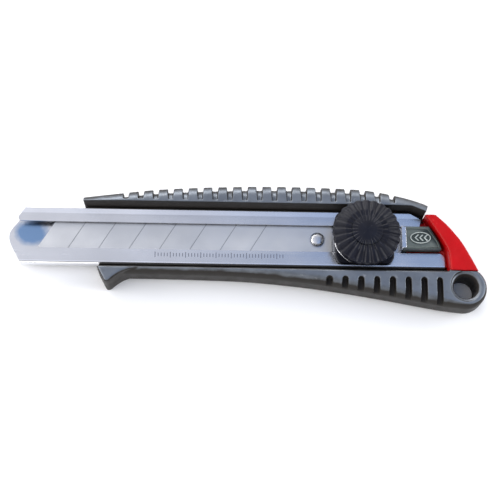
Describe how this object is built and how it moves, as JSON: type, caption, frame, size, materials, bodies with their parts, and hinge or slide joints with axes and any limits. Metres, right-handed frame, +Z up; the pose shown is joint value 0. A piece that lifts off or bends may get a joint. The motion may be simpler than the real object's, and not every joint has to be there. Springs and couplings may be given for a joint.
{
  "type": "utility knife",
  "caption": "Screw-lock snap-off cutter: die-cast handle with ribbed grips, steel blade channel, sliding segmented blade on a clamp carrier with a fluted knob, and a pull-out end cap.",
  "frame": {"origin": "middle of the foot: centre of the bounding box in X and Y, on the table plane", "axes": "+X from the blade tip to the tail, +Y to the ribbed rail, +Z up along the knob's axis"},
  "size_m": [0.157, 0.041, 0.0171],
  "materials": {
    "cast_paint": "gunmetal satin paint on die-cast aluminium, lightly worn",
    "stainless": "bright rolled stainless",
    "blade_steel": "ground satin",
    "zinc_steel": "zinc plated",
    "brass": "turned",
    "black_plastic": "satin moulded",
    "red_plastic": "semi-gloss moulded",
    "dark_plastic": "satin moulded",
    "emblem_paint": "printed grey"
  },
  "bodies": {
    "handle": {"handle_casting": "cast_paint", "blade_channel": "stainless", "channel_rivet_1": "zinc_steel", "channel_rivet_2": "zinc_steel", "channel_rivet_3": "zinc_steel"},
    "carrier": {"blade": "blade_steel", "carrier_plate": "zinc_steel", "carrier_block": "zinc_steel", "carrier_rivet_1": "zinc_steel", "carrier_rivet_2": "zinc_steel", "blade_pin": "zinc_steel", "clamp_bolt": "zinc_steel", "slide_shoe": "black_plastic", "wave_spring": "zinc_steel"},
    "clamp": {"clamp_washer": "stainless"},
    "dial": {"knob": "black_plastic", "knob_insert": "brass", "knob_cap": "black_plastic"},
    "tail_cap": {"end_cap": "red_plastic", "cap_plug": "dark_plastic", "cap_clip": "stainless", "cap_emblem": "emblem_paint"}
  },
  "joints": [
    {"name": "carrier_slide", "type": "slide", "parent": "handle", "child": "carrier", "axis": [-1, 0, 0], "range_m": [0, 0.07]},
    {"name": "clamp_lift", "type": "slide", "parent": "carrier", "child": "clamp", "axis": [0, 0, 1], "range_m": [0, 0.0012], "deforming": ["wave_spring"]},
    {"name": "knob_turn", "type": "hinge", "parent": "clamp", "child": "dial", "pos_m": [0.03892, 0.00354, 0.015], "axis": [0, 0, 1], "range_deg": [0, 560]},
    {"name": "cap_pull", "type": "slide", "parent": "handle", "child": "tail_cap", "axis": [1, 0, 0], "range_m": [0, 0.02]}
  ],
  "couplings": [
    {"joint": "knob_turn", "follows": "clamp_lift", "rad_per_m": 7853.9}
  ]
}
